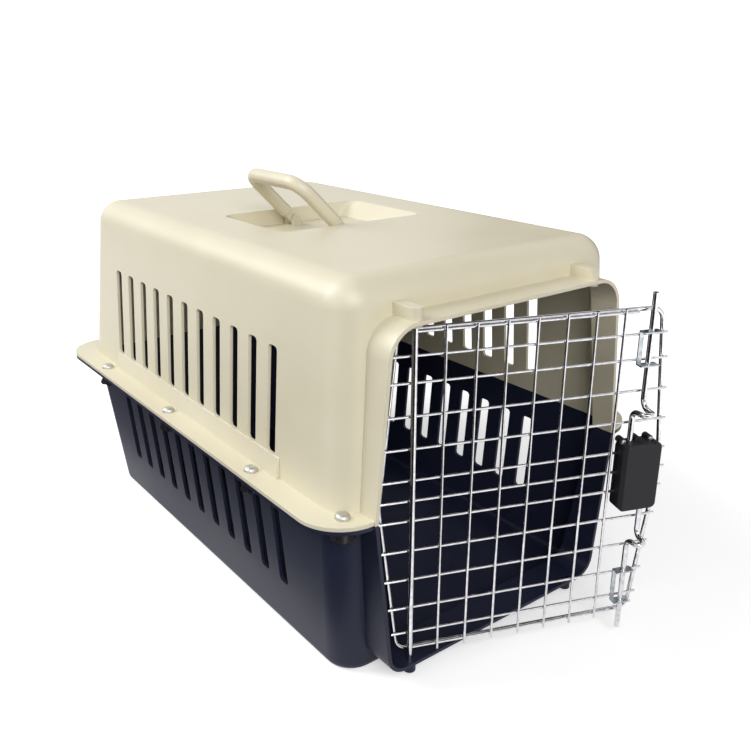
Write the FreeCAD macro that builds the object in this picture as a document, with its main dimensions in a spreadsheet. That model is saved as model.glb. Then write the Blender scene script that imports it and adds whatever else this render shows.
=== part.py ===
"""Pet carrier: two moulded half shells bolted together at a flange, a folding carry handle on top,
and a wire door that turns on a steel rod and locks with two sprung latch rods.

Millimetres, +Z up. The origin is the centre of the base's underside, and the doorway faces -Y.
"""
import FreeCAD
import Part
import Sketcher
import math
import os

Vector = FreeCAD.Vector
X_AXIS = Vector(1, 0, 0)
Y_AXIS = Vector(0, 1, 0)
Z_AXIS = Vector(0, 0, 1)
SAME_PLACE = 0.01

SIZES = {
    # Bolting flange round the waist, which the walls stand in from
    "flange_half_width": 189.0,
    "flange_front": 282.0,
    "flange_rear": 297.0,
    "flange_corner": 42.0,
    "flange_thickness": 3.5,
    # Half shells: the waist is their common outline at the parting plane
    "wall": 3.0,
    "parting_height": 167.0,
    "case_height": 355.0,
    "waist_side_inset": 23.0,
    "waist_front_inset": 18.0,
    "waist_rear_inset": 27.0,
    "crown_side_draft": 13.0,
    "crown_front_draft": 10.0,
    "crown_rear_draft": 29.0,
    "base_side_draft": 14.0,
    "base_front_draft": 16.0,
    "base_rear_draft": 22.0,
    "upright_corner": 27.0,
    "top_round": 25.0,
    "base_round": 9.0,
    # Doorway collar, widest at the waist
    "rim_lead": 1.7,
    "collar_wall": 3.2,
    "collar_root": 12.0,
    "collar_waist_inset": 20.2,
    "collar_top_inset": 21.8,
    "collar_top_drop": 30.4,
    "collar_top_corner": 28.0,
    "collar_bottom_inset": 22.0,
    "collar_bottom": 14.5,
    "collar_bottom_corner": 20.0,
    # Vent slots, in one row on each half of both sides
    "vent_count": 11,
    "vent_pitch": 33.1,
    "vent_first": 160.0,
    "vent_width": 14.0,
    "vent_corner": 4.0,
    "upper_vent_rise": 22.0,
    "upper_vent_drop": 70.0,
    "lower_vent_rise": 54.0,
    "lower_vent_drop": 30.0,
    # Sloped sill under the upper vents
    "sill_front": 174.0,
    "sill_rear": 180.0,
    "sill_depth": 4.0,
    "sill_lip": 0.8,
    # Flange bolts: three along each side and one at each front corner
    "side_bolt_inset": 11.5,
    "rear_bolt": 186.0,
    "middle_bolt": 21.0,
    "front_bolt": -147.0,
    "corner_bolt_inset": 27.5,
    "corner_bolt_setback": 20.0,
    "bolt_shank": 5.0,
    "bolt_hole_play": 0.3,
    "bolt_head": 12.6,
    "bolt_head_height": 4.2,
    "bolt_head_round": 3.6,
    "nut_top": 12.0,
    "nut_tip": 9.0,
    "nut_length": 14.0,
    "nut_wing_span": 25.0,
    "nut_wing_thickness": 3.0,
    "nut_turn": 45.0,
    # Bosses on the collar that take the door's rods
    "hinge_inset": 28.6,
    "hinge_setback": 7.5,
    "latch_shift": 1.6,
    "boss_width": 11.0,
    "boss_nose": 5.0,
    "boss_height": 10.0,
    "boss_drop": 8.6,
    "boss_cap": 2.5,
    "bush_drop": 2.5,
    "hinge_play": 0.1,
    "latch_hole_play": 0.6,
    # Handle dish in the roof, with lugs on its floor
    "dish_centre": -3.0,
    "dish_half_length": 85.5,
    "dish_end_gap": 5.0,
    "dish_floor_half_length": 67.5,
    "dish_end_draft": 2.0,
    "dish_depth": 16.0,
    "dish_corner": 12.0,
    "dish_rim_round": 1.2,
    "pivot_rise": 6.2,
    "pivot_shift": 6.5,
    "lug_width": 11.0,
    "lug_round": 5.0,
    "lug_thickness": 3.5,
    # Carry handle, built upright over its pivot
    "handle_span": 94.0,
    "handle_reach": 72.0,
    "handle_width": 14.0,
    "handle_depth": 13.0,
    "handle_section_round": 5.5,
    "handle_bend": 17.0,
    "handle_lean": 45.0,
    "tongue_thickness": 9.0,
    "tongue_width": 10.0,
    "tongue_round": 4.6,
    "tongue_length": 12.0,
    "tongue_gap": 0.5,
    "trunnion": 6.0,
    "trunnion_play": 0.08,
    # Wire door, ajar as it stands
    "door_open": 21.4,
    "rod": 4.8,
    "frame_wire": 4.0,
    "grid_wire": 2.3,
    "weld_gap": 0.02,
    "door_top_gap": 9.4,
    "door_top_inset": 16.7,
    "door_waist_drop": 3.0,
    "door_waist_inset": 16.3,
    "door_bottom_gap": 9.7,
    "door_bottom_inset": 17.0,
    "door_corner": 11.0,
    "door_waist_bend": 60.0,
    "upright_count": 7,
    "upright_clearance": 7.05,
    "upright_overhang": 2.5,
    "cross_overhang": 3.5,
    "cross_close_pitch": 18.5,
    "cross_steps": 3,
    "cross_top_gap": 20.6,
    "cross_bottom_gap": 18.0,
    "upper_guide_span": 22.1,
    "lower_guide_span": 25.3,
    "double_wire_drop": 1.4,
    "double_wire_end": 12.0,
    "rod_end_gap": 0.2,
    # Latch housing on the door's three close cross wires
    "latch_rise": 0.3,
    "housing_shift": 1.0,
    "housing_drop": 2.0,
    "housing_width": 36.0,
    "housing_height": 63.0,
    "housing_depth": 9.0,
    "housing_wall": 2.0,
    "housing_face": 2.5,
    "housing_corner": 5.0,
    "housing_bevel": 3.0,
    "housing_edge": 1.0,
    "plate_thickness": 2.5,
    "lobe": 6.0,
    "lobe_depth": 6.0,
    "lobe_rise": 1.0,
    "left_lobe": -15.0,
    "middle_lobe": -0.5,
    "right_lobe": 11.0,
    "screw_shank": 2.2,
    "screw_head": 4.4,
    "screw_head_height": 1.6,
    "screw_head_round": 1.0,
    "screw_play": 0.05,
    "wire_notch_play": 0.2,
    # Latch rods with their finger loops, clips and springs
    "latch_gap": 1.2,
    "latch_tip_gap": 1.2,
    "latch_travel": 12.0,
    "upper_loop_share": 0.4493,
    "lower_loop_share": 0.5,
    "upper_loop_reach": 18.5,
    "lower_loop_reach": 15.5,
    "loop_span": 9.0,
    "loop_drop": 2.5,
    "loop_bend": 4.4,
    "rod_bend": 9.0,
    "leg_bend": 7.0,
    "rod_play": 0.1,
    "clip_width": 6.6,
    "clip_thickness": 1.2,
    "clip_gap": 0.3,
    "spring_width": 6.4,
    "spring_wire": 0.6,
    "spring_turns": 9,
    "spring_end_gap": 0.1,
    "tail_gap": 2.0,
    # Rod guides: folded strips across two cross wires
    "guide_strip": 1.2,
    "guide_width": 17.0,
    "guide_shift": 0.5,
    "guide_web": 4.0,
    "guide_reach": 8.5,
    "guide_overlap": 4.0,
}

# Places and widths that follow from the sizes above
FOLLOWING = {
    "waist_half_width": "flange_half_width - waist_side_inset",
    "waist_front": "flange_front - waist_front_inset",
    "waist_rear": "flange_rear - waist_rear_inset",
    "crown_half_width": "waist_half_width - crown_side_draft",
    "crown_front": "waist_front - crown_front_draft",
    "crown_rear": "waist_rear - crown_rear_draft",
    "base_half_width": "waist_half_width - base_side_draft",
    "base_front": "waist_front - base_front_draft",
    "base_rear": "waist_rear - base_rear_draft",
    "rim_front": "flange_front + rim_lead",
    "collar_waist_half_width": "waist_half_width - collar_waist_inset",
    "collar_top_half_width": "crown_half_width - collar_top_inset",
    "collar_top": "case_height - collar_top_drop",
    "collar_bottom_half_width": "base_half_width - collar_bottom_inset",
    "upper_vent_low": "parting_height + upper_vent_rise",
    "upper_vent_high": "case_height - upper_vent_drop",
    "lower_vent_low": "lower_vent_rise",
    "lower_vent_high": "parting_height - lower_vent_drop",
    "side_bolt_offset": "flange_half_width - side_bolt_inset",
    "corner_bolt_offset": "flange_half_width - corner_bolt_inset",
    "corner_bolt": "corner_bolt_setback - flange_front",
    "hinge_offset": "collar_top_half_width - hinge_inset",
    "latch_offset": "hinge_offset - latch_shift",
    "dish_half_width": "(handle_span + handle_width) / 2 + dish_end_gap",
    "dish_floor_half_width": "dish_half_width - dish_end_draft",
    "door_top": "collar_top - door_top_gap",
    "door_top_half_width": "collar_top_half_width - door_top_inset",
    "door_waist": "parting_height - door_waist_drop",
    "door_waist_half_width": "collar_waist_half_width - door_waist_inset",
    "door_bottom": "collar_bottom + door_bottom_gap",
    "door_bottom_half_width": "collar_bottom_half_width - door_bottom_inset",
    "latch_height": "(door_top + door_bottom) / 2 + latch_rise",
    "housing_left": "latch_offset + housing_shift - housing_width / 2",
    "last_upright": "housing_left - upright_clearance",
}

doc = FreeCAD.newDocument("pet_carrier")
sheet = doc.addObject("Spreadsheet::Sheet", "dims")
cells = [(alias, str(number)) for alias, number in SIZES.items()]
cells += [(alias, "=" + formula) for alias, formula in FOLLOWING.items()]
for row, (alias, content) in enumerate(cells, start=1):
    sheet.set("A%d" % row, alias)
    sheet.set("B%d" % row, content)
    sheet.setAlias("B%d" % row, alias)
doc.recompute()

nodes = []


# Sketches and features

def value(expression):
    """Number that an expression of sheet values gives."""
    return float(sheet.evalExpression(expression))


def between(low, high, height, low_height, high_height):
    """Expression for a sloping wall's offset at a height between two levels."""
    return "(%s + (%s - %s) * (%s - %s) / (%s - %s))" % (
        low, high, low, height, low_height, high_height, low_height)


def new_body(name):
    body = doc.addObject("PartDesign::Body", name)
    body.Label = name
    nodes.append(body)
    return body


def origin_feature(body, role):
    return next(item for item in body.Origin.OriginFeatures if item.Role == role)


def new_sketch(body, name, role, offset):
    """Sketch parallel to one of the body's own origin planes."""
    sketch = body.newObject("Sketcher::SketchObject", name)
    sketch.AttachmentSupport = [(origin_feature(body, role), "")]
    sketch.MapMode = "FlatFace"
    sketch.setExpression("AttachmentOffset.Base.z", offset)
    return sketch


def constrain(sketch, expression, kind, *places):
    """Driving constraint bound to an expression."""
    index = sketch.addConstraint(Sketcher.Constraint(kind, *places, value(expression)))
    sketch.setExpression("Constraints[%d]" % index, expression)


def draw_outline(sketch, corners, closed=True):
    """Straight runs between corners, each corner (x, y, radius) in expressions, or sharp at None.

    Every corner is a construction point that the two runs beside it aim at.
    """
    points = [Vector(value(x), value(y), 0) for x, y, radius in corners]
    count = len(points)
    starts = list(points)
    ends = list(points)
    arcs = {}
    for i, (x, y, radius) in enumerate(corners):
        if radius is None:
            continue
        arriving = (points[i] - points[i - 1]).normalize()
        leaving = (points[(i + 1) % count] - points[i]).normalize()
        turn = arriving.getAngle(leaving)
        trim = value(radius) * math.tan(turn / 2)
        ends[i] = points[i] - arriving * trim
        starts[i] = points[i] + leaving * trim
        left_turn = arriving.cross(leaving).z > 0
        side = Vector(-arriving.y, arriving.x, 0) * (1 if left_turn else -1)
        centre = ends[i] + side * value(radius)
        first, last = (ends[i], starts[i]) if left_turn else (starts[i], ends[i])
        first_angle = math.atan2(first.y - centre.y, first.x - centre.x)
        last_angle = math.atan2(last.y - centre.y, last.x - centre.x)
        circle = Part.Circle(centre, Z_AXIS, value(radius))
        arc = sketch.addGeometry(Part.ArcOfCircle(circle, first_angle, last_angle))
        arcs[i] = (arc, 1, 2) if left_turn else (arc, 2, 1)
    runs = []
    for i in range(count if closed else count - 1):
        following = (i + 1) % count
        runs.append(sketch.addGeometry(Part.LineSegment(starts[i], ends[following])))
    for i, (x, y, radius) in enumerate(corners):
        point = sketch.addGeometry(Part.Point(points[i]), True)
        constrain(sketch, x, "DistanceX", -1, 1, point, 1)
        constrain(sketch, y, "DistanceY", -1, 1, point, 1)
        before = runs[i - 1] if closed or i > 0 else None
        after = runs[i] if i < len(runs) else None
        if i in arcs:
            arc, arc_start, arc_end = arcs[i]
            sketch.addConstraint(Sketcher.Constraint("PointOnObject", point, 1, before))
            sketch.addConstraint(Sketcher.Constraint("PointOnObject", point, 1, after))
            sketch.addConstraint(Sketcher.Constraint("Tangent", before, 2, arc, arc_start))
            sketch.addConstraint(Sketcher.Constraint("Tangent", arc, arc_end, after, 1))
            constrain(sketch, radius, "Radius", arc)
        else:
            if before is not None:
                sketch.addConstraint(Sketcher.Constraint("Coincident", before, 2, point, 1))
            if after is not None:
                sketch.addConstraint(Sketcher.Constraint("Coincident", after, 1, point, 1))


def outline(body, name, role, offset, corners, closed=True):
    sketch = new_sketch(body, name, role, offset)
    draw_outline(sketch, corners, closed)
    return sketch


def circles(body, name, role, offset, centres, radius):
    """Sketch of equal circles, with centres and radius in expressions."""
    sketch = new_sketch(body, name, role, offset)
    for x, y in centres:
        middle = Vector(value(x), value(y), 0)
        circle = sketch.addGeometry(Part.Circle(middle, Z_AXIS, value(radius)))
        constrain(sketch, x, "DistanceX", -1, 1, circle, 3)
        constrain(sketch, y, "DistanceY", -1, 1, circle, 3)
        constrain(sketch, radius, "Radius", circle)
    return sketch


def rectangle(left, right, low, high, radius=None):
    return [(left, low, radius), (right, low, radius), (right, high, radius), (left, high, radius)]


def rounded_block(body, name, low, low_height, high, high_height, inset, end_height, end_round):
    """Block between the plans of two named levels (waist, crown or base), drawn in by the inset,
    with rounded upright corners and one rounded end.
    """
    block = body.newObject("PartDesign::AdditiveWedge", name)
    block.AttachmentSupport = [(origin_feature(body, "XZ_Plane"), "")]
    block.MapMode = "FlatFace"
    block.setExpression("Ymin", low_height)
    block.setExpression("Ymax", high_height)
    for mark, level in (("", low), ("2", high)):
        block.setExpression("X%smin" % mark, "-(dims.%s_half_width - %s)" % (level, inset))
        block.setExpression("X%smax" % mark, "dims.%s_half_width - %s" % (level, inset))
        block.setExpression("Z%smin" % mark, "-(dims.%s_rear - %s)" % (level, inset))
        block.setExpression("Z%smax" % mark, "dims.%s_front - %s" % (level, inset))
    settle(block)
    block = fillet(block, name + "_corners", "dims.upright_corner - %s" % inset,
                   rising_from(value(end_height)))
    return fillet(block, name + "_end", "%s - %s" % (end_round, inset), at_height(value(end_height)))


def hollow_out(body, name, *block_sizes):
    """Cut a rounded block out of the body."""
    tool = doc.addObject("PartDesign::Body", name)
    rounded_block(tool, name + "_block", *block_sizes)
    feature = body.newObject("PartDesign::Boolean", name + "_cut")
    feature.Type = "Cut"
    feature.setObjects([tool])
    return settle(feature)


def flange_outline():
    return rectangle("-dims.flange_half_width", "dims.flange_half_width",
                     "-dims.flange_front", "dims.flange_rear", "dims.flange_corner")


def pad(sketch, length, backwards=False, symmetric=False):
    body = sketch.getParentGeoFeatureGroup()
    feature = body.newObject("PartDesign::Pad", sketch.Name + "_pad")
    feature.Profile = sketch
    feature.Reversed = backwards
    feature.SideType = "Symmetric" if symmetric else "One side"
    feature.setExpression("Length", length)
    return settle(feature)


def pocket(sketch, length=None, backwards=False):
    """Cut to a length, or with no length through everything on both sides."""
    body = sketch.getParentGeoFeatureGroup()
    volume = body.Shape.Volume
    feature = body.newObject("PartDesign::Pocket", sketch.Name + "_cut")
    feature.Profile = sketch
    feature.Reversed = backwards
    if length is None:
        feature.Type = "ThroughAll"
        feature.SideType = "Symmetric"
    else:
        feature.setExpression("Length", length)
    settle(feature)
    if feature.Shape.Volume >= volume:
        raise RuntimeError("%s cuts nothing" % feature.Name)
    return feature


def loft(kind, first, second):
    body = first.getParentGeoFeatureGroup()
    feature = body.newObject("PartDesign::" + kind, first.Name + "_loft")
    feature.Profile = first
    feature.Sections = [second]
    feature.Ruled = True
    return settle(feature)


def revolve(sketch):
    body = sketch.getParentGeoFeatureGroup()
    feature = body.newObject("PartDesign::Revolution", sketch.Name + "_turned")
    feature.Profile = sketch
    feature.ReferenceAxis = (sketch, ["V_Axis"])
    feature.Angle = 360
    return settle(feature)


def fillet(base, name, radius, chosen):
    """Fillet on the base feature's edges that the test picks."""
    body = base.getParentGeoFeatureGroup()
    edges = ["Edge%d" % (i + 1) for i, edge in enumerate(base.Shape.Edges) if chosen(edge)]
    feature = body.newObject("PartDesign::Fillet", name)
    feature.Base = (base, edges)
    feature.setExpression("Radius", radius)
    return settle(feature)


def mirror_over(role, *features):
    body = features[0].getParentGeoFeatureGroup()
    feature = body.newObject("PartDesign::Mirrored", features[0].Name + "_mirror")
    feature.Originals = list(features)
    feature.MirrorPlane = (origin_feature(body, role), [""])
    return settle(feature)


def repeat_along_y(original, count, pitch):
    body = original.getParentGeoFeatureGroup()
    feature = body.newObject("PartDesign::LinearPattern", original.Name + "_row")
    feature.Originals = [original]
    feature.Direction = (origin_feature(body, "Y_Axis"), [""])
    feature.setExpression("Length", "%s * (%s - 1)" % (pitch, count))
    feature.setExpression("Occurrences", count)
    return settle(feature)


def settle(feature):
    """Make a feature the body's tip and recompute it."""
    feature.getParentGeoFeatureGroup().Tip = feature
    doc.recompute()
    return feature


def at_height(height):
    """Test for edges that lie whole at one height."""
    return lambda edge: all(abs(vertex.Z - height) < SAME_PLACE for vertex in edge.Vertexes)


def rising_from(height):
    """Test for edges with just one end at a height."""
    return lambda edge: sum(abs(vertex.Z - height) < SAME_PLACE for vertex in edge.Vertexes) == 1


# Shared levels and wall places

FLANGE_TOP = "(dims.parting_height + dims.flange_thickness)"
HINGE_FRONT = "(dims.rim_front - dims.hinge_setback)"
COLLAR_LENGTH = "(dims.rim_front - dims.base_front + dims.collar_root)"
NUT_SEAT = "(dims.parting_height - dims.flange_thickness)"
DISH_FLOOR = "(dims.case_height - dims.dish_depth)"
PIVOT_HEIGHT = "(%s + dims.pivot_rise)" % DISH_FLOOR


def upper_side(height):
    return between("dims.waist_half_width", "dims.crown_half_width", height,
                   "dims.parting_height", "dims.case_height")


def upper_front(height):
    return between("dims.waist_front", "dims.crown_front", height,
                   "dims.parting_height", "dims.case_height")


def collar_outline(far_half_width, far_level, corner, inset, upwards):
    """Half of the doorway collar, from the parting plane to its far, rounded end."""
    waist = "(dims.collar_waist_half_width - %s)" % inset
    far = "(%s - %s)" % (far_half_width, inset)
    level = "(%s %s %s)" % (far_level, "-" if upwards else "+", inset)
    radius = "(%s - %s)" % (corner, inset)
    corners = [("-" + waist, "dims.parting_height", None), (waist, "dims.parting_height", None),
               (far, level, radius), ("-" + far, level, radius)]
    return corners if upwards else corners[::-1]


UPPER_COLLAR = ("dims.collar_top_half_width", "dims.collar_top", "dims.collar_top_corner")
LOWER_COLLAR = ("dims.collar_bottom_half_width", "dims.collar_bottom", "dims.collar_bottom_corner")
BOLT_PLACES = [("dims.side_bolt_offset", "dims.rear_bolt"), ("dims.side_bolt_offset", "dims.middle_bolt"),
               ("dims.side_bolt_offset", "dims.front_bolt"), ("dims.corner_bolt_offset", "dims.corner_bolt")]
BOLT_PLACES += [("-" + x, y) for x, y in BOLT_PLACES]
HINGE_PLACE = ("-dims.hinge_offset", "-" + HINGE_FRONT)


# Door levels, counted outwards from the hinge rod's axis

CROSS_LEVEL = "(-(dims.rod + dims.grid_wire) / 2 - dims.weld_gap)"
UPRIGHT_LEVEL = "(%s + dims.grid_wire + dims.weld_gap)" % CROSS_LEVEL
FRAME_LEVEL = "(%s - (dims.grid_wire + dims.frame_wire) / 2 - dims.weld_gap)" % CROSS_LEVEL
CROSS_FACE = "(%s + dims.grid_wire / 2)" % CROSS_LEVEL
CROSS_BACK = "(%s - dims.grid_wire / 2 - dims.weld_gap)" % CROSS_LEVEL
LATCH_LEVEL = "(%s + dims.latch_gap + dims.rod / 2)" % CROSS_FACE
LATCH_PLACE = ("dims.latch_offset", "-(%s + %s)" % (HINGE_FRONT, LATCH_LEVEL))


# Upper shell: roof and upper walls, with the flange, collar, bosses, vents and handle dish

upper_shell = new_body("upper_shell")
rounded_block(upper_shell, "upper_block", "waist", "dims.parting_height", "crown", "dims.case_height",
              "0", "dims.case_height", "dims.top_round")
pad(outline(upper_shell, "upper_flange", "XY_Plane", "dims.parting_height", flange_outline()),
    "dims.flange_thickness")
pad(outline(upper_shell, "upper_collar", "XZ_Plane", "dims.rim_front",
            collar_outline(*UPPER_COLLAR, "0", True)), COLLAR_LENGTH, backwards=True)

SILL_FOOT = upper_side(FLANGE_TOP)
SILL_HEAD = upper_side("dims.upper_vent_low")
sill = pad(outline(upper_shell, "vent_sill", "XZ_Plane", "dims.sill_front", [
    ("%s - dims.wall / 2" % SILL_FOOT, "dims.parting_height + dims.flange_thickness / 2", None),
    ("%s + dims.sill_depth" % SILL_FOOT, "dims.parting_height + dims.flange_thickness / 2", None),
    ("%s + dims.sill_lip" % SILL_HEAD, "dims.upper_vent_low", None),
    ("%s - dims.wall / 2" % SILL_HEAD, "dims.upper_vent_low", None)]),
    "dims.sill_front + dims.sill_rear", backwards=True)
mirror_over("YZ_Plane", sill)

BOSS_BACK = "(-%s + dims.wall / 2)" % upper_front("dims.collar_top")
for side, boss_middle in (("left", "-dims.hinge_offset"), ("right", "dims.latch_offset")):
    boss_left = "%s - dims.boss_width / 2" % boss_middle
    boss_right = "%s + dims.boss_width / 2" % boss_middle
    boss_front = "-%s - dims.boss_width / 2" % HINGE_FRONT
    pad(outline(upper_shell, side + "_boss", "XY_Plane", "dims.collar_top - dims.collar_wall", [
        (boss_left, boss_front, "dims.boss_nose"), (boss_right, boss_front, "dims.boss_nose"),
        (boss_right, BOSS_BACK, None), (boss_left, BOSS_BACK, None)]),
        "dims.collar_wall + dims.boss_height")

CEILING = "(dims.case_height - dims.wall)"
hollow_out(upper_shell, "upper_hollow", "waist", "dims.parting_height", "crown", CEILING,
           "dims.wall", CEILING, "dims.top_round")
pocket(outline(upper_shell, "upper_doorway", "XZ_Plane", "dims.rim_front",
               collar_outline(*UPPER_COLLAR, "dims.collar_wall", True)), COLLAR_LENGTH)

upper_vent = pocket(outline(upper_shell, "upper_vent", "YZ_Plane", "0", rectangle(
    "-dims.vent_first - dims.vent_width / 2", "-dims.vent_first + dims.vent_width / 2",
    "dims.upper_vent_low", "dims.upper_vent_high", "dims.vent_corner")))
repeat_along_y(upper_vent, "dims.vent_count", "dims.vent_pitch")


def dish_outline(half_length, half_width, grow):
    return rectangle("-%s - %s" % (half_length, grow), "%s + %s" % (half_length, grow),
                     "dims.dish_centre - %s - %s" % (half_width, grow),
                     "dims.dish_centre + %s + %s" % (half_width, grow), "dims.dish_corner + %s" % grow)


DISH_RIM = ("dims.dish_half_length", "dims.dish_half_width")
DISH_BOTTOM = ("dims.dish_floor_half_length", "dims.dish_floor_half_width")
loft("AdditiveLoft",
     outline(upper_shell, "dish_shell_rim", "XY_Plane", "dims.case_height - dims.wall / 2",
             dish_outline(*DISH_RIM, "dims.wall")),
     outline(upper_shell, "dish_shell_floor", "XY_Plane", DISH_FLOOR + " - dims.wall",
             dish_outline(*DISH_BOTTOM, "dims.wall")))
dish = loft("SubtractiveLoft",
            outline(upper_shell, "dish_rim", "XY_Plane", "dims.case_height", dish_outline(*DISH_RIM, "0")),
            outline(upper_shell, "dish_floor", "XY_Plane", DISH_FLOOR, dish_outline(*DISH_BOTTOM, "0")))
on_roof = at_height(value("dims.case_height"))
dish_reach = value("dims.dish_half_length") + SAME_PLACE
fillet(dish, "dish_rim_edge", "dims.dish_rim_round",
       lambda edge: on_roof(edge) and all(abs(vertex.X) < dish_reach for vertex in edge.Vertexes))

LUG_INNER = "(dims.tongue_thickness / 2 + dims.tongue_gap)"
LUG_OUTER = "(%s + dims.lug_thickness)" % LUG_INNER
LUG_LEFT = "-dims.pivot_shift - dims.lug_width / 2"
LUG_RIGHT = "-dims.pivot_shift + dims.lug_width / 2"
for foot, foot_sign in (("front", "-"), ("rear", "+")):
    foot_place = "(dims.dish_centre %s dims.handle_span / 2)" % foot_sign
    for side, near_face in (("front", "(%s - %s)" % (foot_place, LUG_INNER)),
                            ("rear", "(%s + %s)" % (foot_place, LUG_OUTER))):
        pad(outline(upper_shell, "%s_foot_%s_lug" % (foot, side), "XZ_Plane", "-" + near_face, [
            (LUG_LEFT, DISH_FLOOR + " - dims.wall / 2", None),
            (LUG_RIGHT, DISH_FLOOR + " - dims.wall / 2", None),
            (LUG_RIGHT, PIVOT_HEIGHT + " + dims.lug_width / 2", "dims.lug_round"),
            (LUG_LEFT, PIVOT_HEIGHT + " + dims.lug_width / 2", "dims.lug_round")]),
            "dims.lug_thickness")
    pocket(circles(upper_shell, foot + "_lug_bore", "XZ_Plane", "-(%s - %s)" % (foot_place, LUG_OUTER),
                   [("-dims.pivot_shift", PIVOT_HEIGHT)], "dims.trunnion / 2 + dims.trunnion_play"),
           "2 * " + LUG_OUTER)

BORE_TOP = "(dims.collar_top + dims.boss_height - dims.boss_cap)"
BUSH_FOOT = "(dims.collar_top - dims.collar_wall - dims.bush_drop)"
pad(circles(upper_shell, "rod_bushes", "XY_Plane", BUSH_FOOT,
            [("-dims.hinge_offset", "-" + HINGE_FRONT), ("dims.latch_offset", "-" + HINGE_FRONT)],
            "dims.boss_width / 2"), "dims.bush_drop + dims.collar_wall / 2")
for name, place, play in (("hinge_bore", HINGE_PLACE, "dims.hinge_play"),
                          ("latch_bore", LATCH_PLACE, "dims.latch_hole_play")):
    pocket(circles(upper_shell, "upper_" + name, "XY_Plane", BORE_TOP, [place], "dims.rod / 2 + " + play),
           "%s - %s" % (BORE_TOP, BUSH_FOOT))
pocket(circles(upper_shell, "upper_bolt_holes", "XY_Plane", FLANGE_TOP, BOLT_PLACES,
               "dims.bolt_shank / 2 + dims.bolt_hole_play"), "dims.flange_thickness")


# Lower shell: the tub, with its flange, collar, bosses and vents

lower_shell = new_body("lower_shell")
rounded_block(lower_shell, "tub_block", "base", "0", "waist", "dims.parting_height",
              "0", "0", "dims.base_round")
pad(outline(lower_shell, "lower_flange", "XY_Plane", NUT_SEAT, flange_outline()), "dims.flange_thickness")
pad(outline(lower_shell, "lower_collar", "XZ_Plane", "dims.rim_front",
            collar_outline(*LOWER_COLLAR, "0", False)), COLLAR_LENGTH, backwards=True)
pad(circles(lower_shell, "lower_bosses", "XY_Plane", "dims.collar_bottom - dims.boss_drop",
            [("-dims.hinge_offset", "-" + HINGE_FRONT), ("dims.latch_offset", "-" + HINGE_FRONT)],
            "dims.boss_width / 2"), "dims.boss_drop + dims.collar_wall")

hollow_out(lower_shell, "tub_hollow", "base", "dims.wall", "waist", "dims.parting_height",
           "dims.wall", "dims.wall", "dims.base_round")
pocket(outline(lower_shell, "lower_doorway", "XZ_Plane", "dims.rim_front",
               collar_outline(*LOWER_COLLAR, "dims.collar_wall", False)), COLLAR_LENGTH)

lower_vent = pocket(outline(lower_shell, "lower_vent", "YZ_Plane", "0", rectangle(
    "-dims.vent_first - dims.vent_width / 2", "-dims.vent_first + dims.vent_width / 2",
    "dims.lower_vent_low", "dims.lower_vent_high", "dims.vent_corner")))
repeat_along_y(lower_vent, "dims.vent_count", "dims.vent_pitch")
BORE_MOUTH = "dims.collar_bottom + dims.collar_wall"
BORE_FLOOR = "(dims.collar_bottom - dims.boss_drop + dims.boss_cap)"
for name, place, play in (("hinge_bore", HINGE_PLACE, "dims.hinge_play"),
                          ("latch_bore", LATCH_PLACE, "dims.latch_hole_play")):
    pocket(circles(lower_shell, "lower_" + name, "XY_Plane", BORE_MOUTH, [place], "dims.rod / 2 + " + play),
           "dims.collar_wall + dims.boss_drop - dims.boss_cap")
pocket(circles(lower_shell, "lower_bolt_holes", "XY_Plane", "dims.parting_height", BOLT_PLACES,
               "dims.bolt_shank / 2 + dims.bolt_hole_play"), "dims.flange_thickness")


# Flange bolts and wing nuts: one of each is turned at the origin, then set at every bolt place

def group(name, form, placements):
    """Node of separate solids: copies of one form."""
    nodes.remove(form)
    copies = []
    for placement in placements:
        copy = form.Shape.copy()
        copy.Placement = placement
        copies.append(copy)
    feature = doc.addObject("Part::Feature", name)
    feature.Label = name
    feature.Shape = Part.makeCompound(copies)
    nodes.append(feature)
    return feature


def bolt_placements(height):
    """A place at each bolt hole, turned so that a nut's wings clear the wall beside it."""
    placements = []
    for x, y in BOLT_PLACES:
        place = Vector(value(x), value(y), value(height))
        turn = math.copysign(value("dims.nut_turn"), place.x)
        placements.append(FreeCAD.Placement(place, FreeCAD.Rotation(Z_AXIS, turn)))
    return placements


bolt = new_body("flange_bolt_form")
revolve(outline(bolt, "bolt_section", "XZ_Plane", "0", [
    ("0", "-2 * dims.flange_thickness - dims.nut_length", None),
    ("dims.bolt_shank / 2", "-2 * dims.flange_thickness - dims.nut_length", None),
    ("dims.bolt_shank / 2", "0", None),
    ("dims.bolt_head / 2", "0", None),
    ("dims.bolt_head / 2", "dims.bolt_head_height", "dims.bolt_head_round"),
    ("0", "dims.bolt_head_height", None)]))
group("flange_bolts", bolt, bolt_placements(FLANGE_TOP))

nut = new_body("flange_nut_form")
pad(outline(nut, "nut_wings", "XZ_Plane", "0", [
    ("-dims.nut_tip / 2", "-dims.nut_length", None),
    ("dims.nut_tip / 2", "-dims.nut_length", None),
    ("dims.nut_wing_span / 2", "-dims.nut_length", "dims.nut_wing_thickness"),
    ("dims.nut_top / 2", "-dims.nut_wing_thickness", None),
    ("-dims.nut_top / 2", "-dims.nut_wing_thickness", None),
    ("-dims.nut_wing_span / 2", "-dims.nut_length", "dims.nut_wing_thickness")]),
    "dims.nut_wing_thickness", symmetric=True)
revolve(outline(nut, "nut_section", "XZ_Plane", "0", [
    ("0", "-dims.nut_length", None), ("dims.nut_tip / 2", "-dims.nut_length", None),
    ("dims.nut_top / 2", "-dims.nut_wing_thickness", None), ("dims.nut_top / 2", "0", None),
    ("0", "0", None)]))
pocket(circles(nut, "nut_bore", "XY_Plane", "0", [("0", "0")], "dims.bolt_shank / 2"), "dims.nut_length")
group("flange_nuts", nut, bolt_placements(NUT_SEAT))


# Carry handle: a bent oval bar on two tongues, whose trunnions turn in the dish's lugs

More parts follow.
